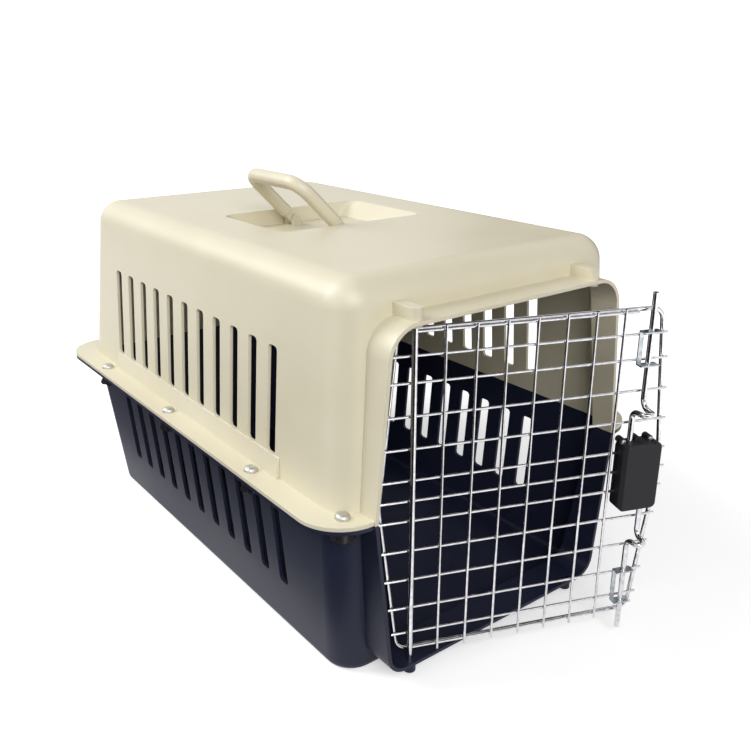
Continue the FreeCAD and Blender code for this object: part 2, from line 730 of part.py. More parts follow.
carry_handle = new_body("carry_handle")
HANDLE_HALF = "dims.handle_span / 2"
path = outline(carry_handle, "handle_path", "YZ_Plane", "0", [
    ("-" + HANDLE_HALF, "dims.tongue_length", None),
    ("-" + HANDLE_HALF, "dims.handle_reach", "dims.handle_bend"),
    (HANDLE_HALF, "dims.handle_reach", "dims.handle_bend"),
    (HANDLE_HALF, "dims.tongue_length", None)], closed=False)
section = outline(carry_handle, "handle_section", "XY_Plane", "dims.tongue_length", rectangle(
    "-dims.handle_depth / 2", "dims.handle_depth / 2",
    "-%s - dims.handle_width / 2" % HANDLE_HALF, "-%s + dims.handle_width / 2" % HANDLE_HALF,
    "dims.handle_section_round"))
bar = carry_handle.newObject("PartDesign::AdditivePipe", "handle_bar")
bar.Profile = section
bar.Spine = (path, ["Edge%d" % (i + 1) for i in range(len(path.Shape.Edges))])
settle(bar)
for foot, foot_sign in (("front", "-"), ("rear", "+")):
    foot_middle = "(0 %s %s)" % (foot_sign, HANDLE_HALF)
    pad(outline(carry_handle, foot + "_tongue", "XZ_Plane", "-%s - dims.tongue_thickness / 2" % foot_middle, [
        ("-dims.tongue_width / 2", "-dims.tongue_width / 2", "dims.tongue_round"),
        ("dims.tongue_width / 2", "-dims.tongue_width / 2", "dims.tongue_round"),
        ("dims.tongue_width / 2", "dims.tongue_length + dims.handle_depth / 2", None),
        ("-dims.tongue_width / 2", "dims.tongue_length + dims.handle_depth / 2", None)]),
        "dims.tongue_thickness")
    pad(circles(carry_handle, foot + "_trunnion", "XZ_Plane", "-%s - %s" % (foot_middle, LUG_OUTER),
                [("0", "0")], "dims.trunnion / 2"), "2 * " + LUG_OUTER)
carry_handle.Placement = FreeCAD.Placement(
    Vector(-value("dims.pivot_shift"), value("dims.dish_centre"), value(PIVOT_HEIGHT)),
    FreeCAD.Rotation(Y_AXIS, -value("dims.handle_lean")))


# Door: every piece is laid out shut, then swung open about the hinge rod

HINGE = Vector(value(HINGE_PLACE[0]), value(HINGE_PLACE[1]), 0)
SWING = FreeCAD.Placement(Vector(), FreeCAD.Rotation(Z_AXIS, -value("dims.door_open")), HINGE)


def on_door(across, level, height):
    """Point of the shut door: across the carrier, out from the hinge axis, and up."""
    return Vector(value(across), HINGE.y - value(level), value(height))


def straight_wire(name, radius, length, foot, direction):
    """Round wire from a foot point of the shut door along X or Z."""
    wire = doc.addObject("Part::Cylinder", name)
    wire.Label = name
    wire.setExpression("Radius", radius)
    wire.setExpression("Height", length)
    wire.Placement = SWING.multiply(FreeCAD.Placement(foot, FreeCAD.Rotation(Z_AXIS, direction)))
    nodes.append(wire)


def bent_wire(points, radii, radius):
    """Solid round wire along straight runs joined by tangent arcs at the inner points."""
    edges = []
    start = points[0]
    for i, bend in enumerate(radii, start=1):
        arriving = (points[i] - points[i - 1]).normalize()
        leaving = (points[i + 1] - points[i]).normalize()
        half_turn = arriving.getAngle(leaving) / 2
        trim = bend * math.tan(half_turn)
        inward = (leaving - arriving).normalize()
        entry = points[i] - arriving * trim
        middle = points[i] + inward * (bend / math.cos(half_turn) - bend)
        leave = points[i] + leaving * trim
        edges.append(Part.LineSegment(start, entry).toShape())
        edges.append(Part.Arc(entry, middle, leave).toShape())
        start = leave
    edges.append(Part.LineSegment(start, points[-1]).toShape())
    ring = Part.makeCircle(radius, points[0], points[1] - points[0])
    return Part.Wire(edges).makePipeShell([Part.Wire([ring])], True, False)


def wire_node(name, shape):
    wire = doc.addObject("Part::Feature", name)
    wire.Label = name
    wire.Shape = shape
    wire.Placement = SWING
    nodes.append(wire)


def door_half_width(height):
    """Half width to the frame wire's middle, tapering both ways from the waist."""
    if value(height) > value("dims.door_waist"):
        return between("dims.door_waist_half_width", "dims.door_top_half_width", height,
                       "dims.door_waist", "dims.door_top")
    return between("dims.door_bottom_half_width", "dims.door_waist_half_width", height,
                   "dims.door_bottom", "dims.door_waist")


# Frame wire: one half is bent, mirrored and butt welded at the middle of the top and bottom
frame_half = bent_wire(
    [on_door("0", FRAME_LEVEL, "dims.door_bottom"),
     on_door("dims.door_bottom_half_width", FRAME_LEVEL, "dims.door_bottom"),
     on_door("dims.door_waist_half_width", FRAME_LEVEL, "dims.door_waist"),
     on_door("dims.door_top_half_width", FRAME_LEVEL, "dims.door_top"),
     on_door("0", FRAME_LEVEL, "dims.door_top")],
    [value("dims.door_corner"), value("dims.door_waist_bend"), value("dims.door_corner")],
    value("dims.frame_wire / 2"))
wire_node("door_frame", frame_half.fuse(frame_half.mirror(Vector(), X_AXIS)).removeSplitter())

# Hinge rod, standing on the lower boss's floor
ROD_FOOT = "(%s + dims.rod_end_gap)" % BORE_FLOOR
ROD_HEAD = "(%s - dims.rod_end_gap)" % BORE_TOP
straight_wire("hinge_rod", "dims.rod / 2", "%s - %s" % (ROD_HEAD, ROD_FOOT),
              on_door("-dims.hinge_offset", "0", ROD_FOOT), Z_AXIS)

# Upright wires, evenly spaced from the hinge rod to the one beside the latch housing
for i in range(1, int(value("dims.upright_count")) + 1):
    across = "-dims.hinge_offset + (dims.last_upright + dims.hinge_offset) * %d / dims.upright_count" % i
    straight_wire("upright_wire_%d" % i, "dims.grid_wire / 2",
                  "dims.door_top - dims.door_bottom + 2 * dims.upright_overhang",
                  on_door(across, UPRIGHT_LEVEL, "dims.door_bottom - dims.upright_overhang"), Z_AXIS)

# Cross wires: three close ones behind the latch housing, then even steps to the two that carry a guide
LOWEST_CROSS = "(dims.door_bottom + dims.cross_bottom_gap)"
HIGHEST_CROSS = "(dims.door_top - dims.cross_top_gap)"
LOWER_CLOSE = "(dims.latch_height - dims.cross_close_pitch)"
UPPER_CLOSE = "(dims.latch_height + dims.cross_close_pitch)"
LOWER_STEP = "((%s - %s - dims.lower_guide_span) / dims.cross_steps)" % (LOWER_CLOSE, LOWEST_CROSS)
UPPER_STEP = "((%s - %s - dims.upper_guide_span) / dims.cross_steps)" % (HIGHEST_CROSS, UPPER_CLOSE)
cross_heights = [LOWEST_CROSS]
for i in range(int(value("dims.cross_steps")), -1, -1):
    cross_heights.append("(%s - %d * %s)" % (LOWER_CLOSE, i, LOWER_STEP))
cross_heights.append("dims.latch_height")
for i in range(int(value("dims.cross_steps")) + 1):
    cross_heights.append("(%s + %d * %s)" % (UPPER_CLOSE, i, UPPER_STEP))
cross_heights.append(HIGHEST_CROSS)
for i, height in enumerate(cross_heights, start=1):
    half_length = "(%s + dims.cross_overhang)" % door_half_width(height)
    straight_wire("cross_wire_%02d" % i, "dims.grid_wire / 2", "2 * " + half_length,
                  on_door("-" + half_length, CROSS_LEVEL, height), X_AXIS)

# Double wires, which run along the frame's face at the top and bottom and stop short of the latch rods
DOUBLE_HALF = "(dims.hinge_offset - dims.double_wire_end)"
for name, height in (("double_wire_top", "dims.door_top - dims.double_wire_drop"),
                     ("double_wire_bottom", "dims.door_bottom + dims.double_wire_drop")):
    straight_wire(name, "dims.grid_wire / 2", "dims.hinge_offset + %s" % DOUBLE_HALF,
                  on_door("-dims.hinge_offset", CROSS_LEVEL, height), X_AXIS)


# Latch housing: a cover closed at the back by a plate, clamped on the three close cross wires

def door_plane(level):
    """Sketch plane offset for a level of the shut door."""
    return "%s + %s" % (HINGE_FRONT, level)


HOUSING_LEFT = "dims.housing_left"
HOUSING_RIGHT = "(dims.housing_left + dims.housing_width)"
HOUSING_TOP = "(dims.latch_height - dims.housing_drop + dims.housing_height / 2)"
HOUSING_BOTTOM = "(dims.latch_height - dims.housing_drop - dims.housing_height / 2)"
HOUSING_CEILING = "(%s - dims.housing_wall)" % HOUSING_TOP
HOUSING_FLOOR = "(%s + dims.housing_wall)" % HOUSING_BOTTOM
LOBE_HEIGHT = "(%s + dims.lobe_rise)" % HOUSING_TOP
LOBES = [("dims.latch_offset + dims.%s_lobe" % side, LOBE_HEIGHT) for side in ("left", "middle", "right")]
SCREW_PLACES = [LOBES[0], LOBES[2]]
LOBE_FRONT = "(%s + dims.lobe_depth)" % CROSS_BACK
UPPER_LEG = "(dims.latch_offset - dims.loop_span)"
LOWER_LEG = "(dims.latch_offset + dims.loop_span)"
latch_housing = new_body("latch_housing")
pad(outline(latch_housing, "cover", "XZ_Plane", door_plane(CROSS_BACK), rectangle(
    HOUSING_LEFT, HOUSING_RIGHT, HOUSING_BOTTOM, HOUSING_TOP, "dims.housing_corner")),
    "dims.housing_depth - " + CROSS_BACK)
COVER_FACE = "(-%s - dims.housing_depth)" % HINGE_FRONT
cover = pocket(outline(latch_housing, "cover_bevel", "XY_Plane", "0", [
    (HOUSING_LEFT, COVER_FACE, None),
    (HOUSING_LEFT + " + dims.housing_bevel", COVER_FACE, None),
    (HOUSING_LEFT, COVER_FACE + " + dims.housing_bevel", None)]))
fillet(cover, "cover_edge", "dims.housing_edge",
       lambda edge: all(abs(vertex.Y - value(COVER_FACE)) < SAME_PLACE for vertex in edge.Vertexes))
pad(circles(latch_housing, "cover_lobes", "XZ_Plane", door_plane(CROSS_BACK), LOBES, "dims.lobe / 2"),
    "dims.lobe_depth")
pocket(outline(latch_housing, "cover_hollow", "XZ_Plane", door_plane(CROSS_BACK), rectangle(
    HOUSING_LEFT + " + dims.housing_wall", HOUSING_RIGHT + " - dims.housing_wall",
    HOUSING_FLOOR, HOUSING_CEILING, "dims.housing_corner - dims.housing_wall")),
    "dims.housing_depth - dims.housing_face - " + CROSS_BACK, backwards=True)
for place in ("- dims.cross_close_pitch", "", "+ dims.cross_close_pitch"):
    notch_middle = "(dims.latch_height %s)" % place
    notch_half = "(dims.grid_wire / 2 + dims.wire_notch_play)"
    pocket(outline(latch_housing, "wire_notch", "YZ_Plane", "0", rectangle(
        "-(%s) - dims.wire_notch_play" % door_plane(CROSS_FACE), "-(%s)" % door_plane(CROSS_BACK),
        "%s - %s" % (notch_middle, notch_half), "%s + %s" % (notch_middle, notch_half))))
for name, leg, level in (("upper_rod_hole", UPPER_LEG, HOUSING_TOP),
                         ("lower_rod_hole", LOWER_LEG, HOUSING_FLOOR)):
    pocket(circles(latch_housing, name, "XY_Plane", level, [(leg, LATCH_PLACE[1])],
                   "dims.rod / 2 + dims.rod_play"), "dims.housing_wall")
pocket(circles(latch_housing, "cover_screw_holes", "XZ_Plane", door_plane(CROSS_BACK), SCREW_PLACES,
               "dims.screw_shank / 2 + dims.screw_play"), "dims.lobe_depth", backwards=True)
pocket(circles(latch_housing, "cover_screw_recesses", "XZ_Plane", door_plane("dims.housing_depth"),
               SCREW_PLACES, "dims.screw_head / 2 + dims.screw_play"), "dims.housing_depth - " + LOBE_FRONT)
latch_housing.Placement = SWING

PLATE_BACK = "(%s - dims.plate_thickness)" % CROSS_BACK
latch_back_plate = new_body("latch_back_plate")
pad(outline(latch_back_plate, "plate", "XZ_Plane", door_plane(PLATE_BACK), rectangle(
    HOUSING_LEFT, HOUSING_RIGHT, HOUSING_BOTTOM, HOUSING_TOP, "dims.housing_corner")), "dims.plate_thickness")
pad(circles(latch_back_plate, "plate_lobes", "XZ_Plane", door_plane(PLATE_BACK), LOBES, "dims.lobe / 2"),
    "dims.plate_thickness")
pocket(circles(latch_back_plate, "plate_screw_holes", "XZ_Plane", door_plane(PLATE_BACK), SCREW_PLACES,
               "dims.screw_shank / 2 + dims.screw_play"), "dims.plate_thickness", backwards=True)
latch_back_plate.Placement = SWING

screw = new_body("housing_screw_form")
SCREW_LENGTH = "-dims.lobe_depth - dims.plate_thickness"
revolve(outline(screw, "screw_section", "XZ_Plane", "0", [
    ("0", SCREW_LENGTH, None), ("dims.screw_shank / 2", SCREW_LENGTH, None),
    ("dims.screw_shank / 2", "0", None), ("dims.screw_head / 2", "0", None),
    ("dims.screw_head / 2", "dims.screw_head_height", "dims.screw_head_round"),
    ("0", "dims.screw_head_height", None)]))
facing_out = FreeCAD.Rotation(Z_AXIS, Y_AXIS * -1)
screws = group("housing_screws", screw, [
    FreeCAD.Placement(on_door(across, LOBE_FRONT, height), facing_out)
    for across, height in SCREW_PLACES])
screws.Placement = SWING


# Latch rods: each runs from its boss through a guide, out round a finger loop and into the housing

def latch_rod(name, tip, loop, reach, leg, drop, tail):
    points = [on_door("dims.latch_offset", LATCH_LEVEL, tip),
              on_door("dims.latch_offset", LATCH_LEVEL, loop),
              on_door("dims.latch_offset", reach, loop),
              on_door(leg, reach, loop),
              on_door(leg, LATCH_LEVEL, loop + drop),
              on_door(leg, LATCH_LEVEL, tail)]
    bends = [value("dims." + bend) for bend in ("rod_bend", "loop_bend", "loop_bend", "leg_bend")]
    wire_node(name, bent_wire(points, bends, value("dims.rod / 2")))


def clip(name, leg, foot):
    """Ring on a rod's leg that the spring pushes against."""
    clip_ring = doc.addObject("Part::Cut", name)
    clip_ring.Label = name
    clip_ring.Base = doc.addObject("Part::Cylinder", name + "_blank")
    clip_ring.Tool = doc.addObject("Part::Cylinder", name + "_bore")
    clip_ring.Base.setExpression("Radius", "dims.clip_width / 2")
    clip_ring.Tool.setExpression("Radius", "dims.rod / 2")
    for disc in (clip_ring.Base, clip_ring.Tool):
        disc.setExpression("Height", "dims.clip_thickness")
        disc.Placement.Base = on_door(leg, LATCH_LEVEL, foot)
    clip_ring.Placement = SWING
    nodes.append(clip_ring)


def latch_spring(name, leg, foot):
    """Round wire wound as a helix round a rod's leg, each quarter turn a pair of tangent arcs."""
    middle = on_door(leg, LATCH_LEVEL, foot)
    turns = int(value("dims.spring_turns"))
    coil_radius = value("(dims.spring_width - dims.spring_wire) / 2")
    rise = value(SPRING_LENGTH + " - dims.spring_wire - 2 * dims.spring_end_gap")
    slope = rise / turns / math.tau
    quarters = 4 * turns
    edges = []
    stations = []
    for i in range(quarters + 1):
        angle = i * math.pi / 2
        place = Vector(coil_radius * math.cos(angle), coil_radius * math.sin(angle), rise * i / quarters)
        heading = Vector(-math.sin(angle) * coil_radius, math.cos(angle) * coil_radius, slope)
        stations.append((middle + place, heading.normalize()))
    for (start, leaving), (end, arriving) in zip(stations, stations[1:]):
        span = end - start
        both = leaving + arriving
        spare = 1 - leaving.dot(arriving)
        reach = (math.sqrt(span.dot(both) ** 2 + 2 * spare * span.dot(span)) - span.dot(both)) / (2 * spare)
        joint = (start + leaving * reach + end - arriving * reach) * 0.5
        edges.append(tangent_arc(start, leaving, joint))
        edges.append(tangent_arc(end, arriving * -1, joint))
    ring = Part.makeCircle(value("dims.spring_wire / 2"), *stations[0])
    wire_node(name, Part.Wire(edges).makePipeShell([Part.Wire([ring])], True, False))
    print("%s: gap between turns %.2f mm" % (name, rise / turns - value("dims.spring_wire")))


def tangent_arc(start, heading, end):
    """Arc that leaves the start along a heading and reaches the end."""
    chord = end - start
    along = Vector(chord).normalize()
    sideways = (heading - along * heading.dot(along)).normalize()
    bulge = chord.Length / 2 * math.tan(heading.getAngle(along) / 2)
    return Part.Arc(start, start + chord * 0.5 + sideways * bulge, end).toShape()


# Each finger loop stands at its share of the way from the housing to the guide
UPPER_LOOP = "(%s + (%s - dims.guide_overlap - %s) * dims.upper_loop_share)" % (
    HOUSING_TOP, cross_heights[-2], HOUSING_TOP)
LOWER_LOOP = "(%s - (%s - %s - dims.guide_overlap) * dims.lower_loop_share)" % (
    HOUSING_BOTTOM, HOUSING_BOTTOM, cross_heights[1])
TAIL_ROOM = "(dims.latch_travel + dims.tail_gap)"
SPRING_LENGTH = "(%s - %s - dims.clip_gap - dims.clip_thickness)" % (HOUSING_CEILING, HOUSING_FLOOR)
SPRING_FOOT = " + dims.spring_wire / 2 + dims.spring_end_gap"
latch_rod("upper_latch_rod", BORE_TOP + " - dims.latch_tip_gap", UPPER_LOOP, "dims.upper_loop_reach",
          UPPER_LEG, " - dims.loop_drop", "%s + %s" % (HOUSING_FLOOR, TAIL_ROOM))
latch_rod("lower_latch_rod", BORE_FLOOR + " + dims.latch_tip_gap", LOWER_LOOP, "dims.lower_loop_reach",
          LOWER_LEG, " + dims.loop_drop", "%s - %s" % (HOUSING_CEILING, TAIL_ROOM))
clip("upper_spring_clip", UPPER_LEG, HOUSING_CEILING + " - dims.clip_gap - dims.clip_thickness")
clip("lower_spring_clip", LOWER_LEG, HOUSING_FLOOR + " + dims.clip_gap")
latch_spring("upper_latch_spring", UPPER_LEG, HOUSING_FLOOR + SPRING_FOOT)
latch_spring("lower_latch_spring", LOWER_LEG, "%s - %s%s" % (HOUSING_CEILING, SPRING_LENGTH, SPRING_FOOT))


# Rod guides: a web across two cross wires with an eared fold at each end, where the rod runs through

def rod_guide(name, low_wire, high_wire):
    guide = new_body(name)
    left = "dims.latch_offset - dims.guide_width / 2 - dims.guide_shift"
    right = "dims.latch_offset + dims.guide_width / 2 - dims.guide_shift"
    low = "(%s - dims.guide_overlap)" % low_wire
    high = "(%s + dims.guide_overlap)" % high_wire
    back = door_plane(CROSS_FACE + " + dims.weld_gap")
    pad(outline(guide, name + "_web", "XZ_Plane", back, rectangle(
        left, left + " + dims.guide_web", low, high)), "dims.guide_strip")
    for ear, foot in (("low", low), ("high", high + " - dims.guide_strip")):
        pad(outline(guide, "%s_%s_ear" % (name, ear), "XY_Plane", foot, rectangle(
            left, right, "-(%s) - dims.guide_reach" % back, "-(%s)" % back)), "dims.guide_strip")
    pocket(circles(guide, name + "_holes", "XY_Plane", high, [LATCH_PLACE], "dims.rod / 2 + dims.rod_play"),
           "%s - %s" % (high, low))
    guide.Placement = SWING


rod_guide("upper_rod_guide", cross_heights[-2], cross_heights[-1])
rod_guide("lower_rod_guide", cross_heights[0], cross_heights[1])


# Every piece is checked before any file is written

doc.recompute()
for item in doc.Objects:
    if "Invalid" in item.State or "Error" in item.State:
        raise RuntimeError("%s failed: %s" % (item.Name, item.getStatusString()))
for node in nodes:
    if node.Shape.isNull() or not node.Shape.isValid():
        raise RuntimeError("%s has no valid shape" % node.Label)
os.makedirs("parts", exist_ok=True)
for node in nodes:
    node.Shape.exportStep("parts/%s.step" % node.Label)
print("%d pieces written" % len(nodes))
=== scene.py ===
"""Pet carrier: the finishes of its moulded shells, wire door, latch and handle, in the CAD frame.

Metres, +Z up, doorway towards -Y. The sections follow the carrier as it is put together.
"""
import math
import random

import bmesh
import bpy
from mathutils import Matrix, Vector


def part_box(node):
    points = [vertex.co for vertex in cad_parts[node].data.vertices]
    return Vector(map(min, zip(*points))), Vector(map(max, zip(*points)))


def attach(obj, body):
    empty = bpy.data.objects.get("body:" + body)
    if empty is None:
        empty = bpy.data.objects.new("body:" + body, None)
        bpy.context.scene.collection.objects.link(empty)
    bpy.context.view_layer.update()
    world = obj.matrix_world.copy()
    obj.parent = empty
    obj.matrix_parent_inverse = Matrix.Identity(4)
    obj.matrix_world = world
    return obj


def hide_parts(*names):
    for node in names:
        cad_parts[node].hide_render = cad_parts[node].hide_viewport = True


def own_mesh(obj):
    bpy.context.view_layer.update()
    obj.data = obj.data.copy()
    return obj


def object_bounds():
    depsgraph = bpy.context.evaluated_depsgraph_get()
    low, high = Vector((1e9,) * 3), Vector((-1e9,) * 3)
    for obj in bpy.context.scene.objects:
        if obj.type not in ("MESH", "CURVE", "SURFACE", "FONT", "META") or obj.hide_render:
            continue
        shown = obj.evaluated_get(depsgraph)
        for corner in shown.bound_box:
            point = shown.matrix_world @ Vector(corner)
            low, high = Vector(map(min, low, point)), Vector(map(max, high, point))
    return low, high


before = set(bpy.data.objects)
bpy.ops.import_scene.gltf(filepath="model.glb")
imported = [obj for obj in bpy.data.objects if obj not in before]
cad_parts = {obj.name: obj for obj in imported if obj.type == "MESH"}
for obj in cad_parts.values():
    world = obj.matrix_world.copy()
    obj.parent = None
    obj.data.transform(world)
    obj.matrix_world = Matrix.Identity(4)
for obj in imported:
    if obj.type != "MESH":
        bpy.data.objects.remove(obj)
cad_low, cad_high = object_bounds()


# Lower shell: the tub, injection moulded in navy polypropylene with a spark-eroded satin skin.
# It stands on its base, and its flange carries the upper shell.

def new_group(name, inputs, outputs):
    """Shader node group with float inputs (name: default) and typed outputs (name: socket type)."""
    group = bpy.data.node_groups.new(name, "ShaderNodeTree")
    for label, default in inputs.items():
        socket = group.interface.new_socket(label, in_out="INPUT", socket_type="NodeSocketFloat")
        socket.default_value = default
    for label, kind in outputs.items():
        group.interface.new_socket(label, in_out="OUTPUT", socket_type=kind)
    return group, group.nodes.new("NodeGroupInput"), group.nodes.new("NodeGroupOutput")


def noise(tree, coordinates, scale, detail):
    node = tree.nodes.new("ShaderNodeTexNoise")
    node.inputs["Detail"].default_value = detail
    tree.links.new(coordinates, node.inputs["Vector"])
    if isinstance(scale, bpy.types.NodeSocket):
        tree.links.new(scale, node.inputs["Scale"])
    else:
        node.inputs["Scale"].default_value = scale
    return node.outputs["Fac"]


def remap(tree, source, low, high, new_low, new_high):
    """Value of a socket carried from one range into another, and held inside it."""
    node = tree.nodes.new("ShaderNodeMapRange")
    tree.links.new(source, node.inputs["Value"])
    for label, number in (("From Min", low), ("From Max", high), ("To Min", new_low), ("To Max", new_high)):
        node.inputs[label].default_value = number
    return node.outputs["Result"]


def arithmetic(tree, operation, first, second):
    node = tree.nodes.new("ShaderNodeMath")
    node.operation = operation
    for socket, term in zip(node.inputs, (first, second)):
        if isinstance(term, bpy.types.NodeSocket):
            tree.links.new(term, socket)
        else:
            socket.default_value = term
    return node.outputs["Value"]


def blend_colour(tree, factor, first, second):
    node = tree.nodes.new("ShaderNodeMix")
    node.data_type = "RGBA"
    tree.links.new(factor, node.inputs["Factor"])
    for label, colour in (("A", first), ("B", second)):
        socket = next(item for item in node.inputs if item.name == label and item.type == "RGBA")
        if isinstance(colour, bpy.types.NodeSocket):
            tree.links.new(colour, socket)
        else:
            socket.default_value = (*colour, 1)
    return next(item for item in node.outputs if item.type == "RGBA")


# Moulded skin: the fine grain of the mould, slow flow marks in the colour, and hairline handling scratches
RIPPLE_SCALE = 60
RIPPLE_SHARE = 1.5
FLOW_SCALE = 7
SCRATCH_TURN = (0.5, 0.3, 0.9)
SCRATCH_STRETCH = (14, 420, 420)
SCRATCH_PATCHES = 19
skin_group, skin_in, skin_out = new_group(
    "moulded_skin", {"Grain": 1500.0},
    {"Height": "NodeSocketFloat", "Flow": "NodeSocketFloat", "Scratch": "NodeSocketFloat"})
skin_place = skin_group.nodes.new("ShaderNodeTexCoord").outputs["Object"]
grain = noise(skin_group, skin_place, skin_in.outputs["Grain"], 2)
ripple = noise(skin_group, skin_place, RIPPLE_SCALE, 2)
ripple_height = arithmetic(skin_group, "MULTIPLY", ripple, RIPPLE_SHARE)
skin_group.links.new(arithmetic(skin_group, "ADD", grain, ripple_height), skin_out.inputs["Height"])
skin_group.links.new(noise(skin_group, skin_place, FLOW_SCALE, 4), skin_out.inputs["Flow"])
stretch = skin_group.nodes.new("ShaderNodeMapping")
stretch.inputs["Rotation"].default_value = SCRATCH_TURN
stretch.inputs["Scale"].default_value = SCRATCH_STRETCH
skin_group.links.new(skin_place, stretch.inputs["Vector"])
hairlines = remap(skin_group, noise(skin_group, stretch.outputs["Vector"], 1, 2), 0.70, 0.78, 0, 1)
patches = remap(skin_group, noise(skin_group, skin_place, SCRATCH_PATCHES, 2), 0.52, 0.68, 0, 1)
skin_group.links.new(arithmetic(skin_group, "MULTIPLY", hairlines, patches), skin_out.inputs["Scratch"])

# Edge rub and painted highlight: finds edges by how far a rounded normal turns from the flat one, broken up
# by noise. The lighter colour laid on this mask is partly wear and partly a painted highlight along the
# edges.
RUB_HIGHLIGHT_RADIUS = 0.0012
RUB_HIGHLIGHT_PATCHES = 160
BEVEL_SAMPLES = 4
rub_highlight_group, rub_highlight_in, rub_highlight_out = new_group("edge_rub_and_highlight", {"Amount": 1.0}, {"Mask": "NodeSocketFloat"})
rounded = rub_highlight_group.nodes.new("ShaderNodeBevel")
rounded.samples = BEVEL_SAMPLES
rounded.inputs["Radius"].default_value = RUB_HIGHLIGHT_RADIUS
plain = rub_highlight_group.nodes.new("ShaderNodeNewGeometry")
turned = rub_highlight_group.nodes.new("ShaderNodeVectorMath")
turned.operation = "DOT_PRODUCT"
rub_highlight_group.links.new(rounded.outputs["Normal"], turned.inputs[0])
rub_highlight_group.links.new(plain.outputs["Normal"], turned.inputs[1])
on_edge = remap(rub_highlight_group, turned.outputs["Value"], 0.97, 0.80, 0, 1)
rub_place = rub_highlight_group.nodes.new("ShaderNodeTexCoord").outputs["Object"]
broken = remap(rub_highlight_group, noise(rub_highlight_group, rub_place, RUB_HIGHLIGHT_PATCHES, 3), 0.40, 0.66, 0, 1)
edge_mask = arithmetic(rub_highlight_group, "MULTIPLY", on_edge, broken)
rub_highlight_group.links.new(arithmetic(rub_highlight_group, "MULTIPLY", edge_mask, rub_highlight_in.outputs["Amount"]),
                    rub_highlight_out.inputs["Mask"])

# How far the rub (wear and a painted edge highlight) and the scratches show in a moulded plastic, and how
# strong its grain is
RUB_HIGHLIGHT_AMOUNT = 0.75
RUB_POLISH = 0.12
SCRATCH_SHARE = 0.35
GRAIN_STRENGTH = 0.6


def place_group(tree, group, **values):
    node = tree.nodes.new("ShaderNodeGroup")
    node.node_tree = group
    for label, number in values.items():
        node.inputs[label].default_value = number
    return node.outputs


def new_material(name):
    material = bpy.data.materials.new(name)
    material.use_nodes = True
    return material.node_tree, material.node_tree.nodes["Principled BSDF"].inputs


def add_bump(tree, height, depth, strength, edge_radius):
    """Normal with a fine relief on it, and sharp edges softened by a radius."""
    softened = tree.nodes.new("ShaderNodeBevel")
    softened.samples = BEVEL_SAMPLES
    softened.inputs["Radius"].default_value = edge_radius
    bump = tree.nodes.new("ShaderNodeBump")
    bump.inputs["Distance"].default_value = depth
    bump.inputs["Strength"].default_value = strength
    tree.links.new(height, bump.inputs["Height"])
    tree.links.new(softened.outputs["Normal"], bump.inputs["Normal"])
    return bump.outputs["Normal"]


def moulded_plastic(name, deep, pale, rubbed_highlight, grain_scale, grain_depth, smooth, rough, edge_radius):
    """Satin moulded plastic: two close shades, lighter rubbed edges (partly wear, partly a painted highlight)
    and scratches, and a grained skin.
    """
    tree, shader = new_material(name)
    skin = place_group(tree, skin_group, Grain=grain_scale)
    rub_highlight = place_group(tree, rub_highlight_group, Amount=RUB_HIGHLIGHT_AMOUNT)["Mask"]
    shade = blend_colour(tree, remap(tree, skin["Flow"], 0.35, 0.65, 0, 1), deep, pale)
    worn_and_highlit = arithmetic(tree, "MAXIMUM", rub_highlight, arithmetic(tree, "MULTIPLY", skin["Scratch"], SCRATCH_SHARE))
    # The lighter edge colour is partly rub wear and partly a painted highlight along the edges.
    tree.links.new(blend_colour(tree, worn_and_highlit, shade, rubbed_highlight), shader["Base Color"])
    sheen = remap(tree, skin["Flow"], 0.3, 0.7, smooth, rough)
    tree.links.new(arithmetic(tree, "SUBTRACT", sheen, arithmetic(tree, "MULTIPLY", rub_highlight, RUB_POLISH)),
                   shader["Roughness"])
    tree.links.new(add_bump(tree, skin["Height"], grain_depth, GRAIN_STRENGTH, edge_radius), shader["Normal"])
    return shader


def dress(material, *nodes):
    for node in nodes:
        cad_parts[node].data.materials.clear()
        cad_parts[node].data.materials.append(bpy.data.materials[material])


navy = moulded_plastic("navy_polypropylene", deep=(0.011, 0.0135, 0.033), pale=(0.015, 0.0185, 0.043),
                       rubbed_highlight=(0.045, 0.050, 0.080), grain_scale=1500, grain_depth=0.00006,
                       smooth=0.40, rough=0.50, edge_radius=0.0008)
navy["Specular IOR Level"].default_value = 0.22
dress("navy_polypropylene", "lower_shell")


# Upper shell: roof and upper walls in cream polypropylene, moulded with the sill, bosses and handle dish.
# It drops onto the tub's flange and is bolted there.
# Its light rubbed colour on the edges is partly wear and partly a painted highlight along the sill and
# rounded edges.
cream = moulded_plastic("cream_polypropylene", deep=(0.668, 0.614, 0.458), pale=(0.712, 0.662, 0.508),
                        rubbed_highlight=(0.86, 0.82, 0.70), grain_scale=1300, grain_depth=0.00005,
                        smooth=0.38, rough=0.48, edge_radius=0.0009)
cream["Specular IOR Level"].default_value = 0.72
cream["Subsurface Weight"].default_value = 0.06
cream["Subsurface Radius"].default_value = (0.004, 0.003, 0.0015)
dress("cream_polypropylene", "upper_shell")


# Flange bolts and wing nuts: zinc-plated dome bolts dropped through both flanges,
# with black glass-filled nylon wing nuts run up from below by hand.

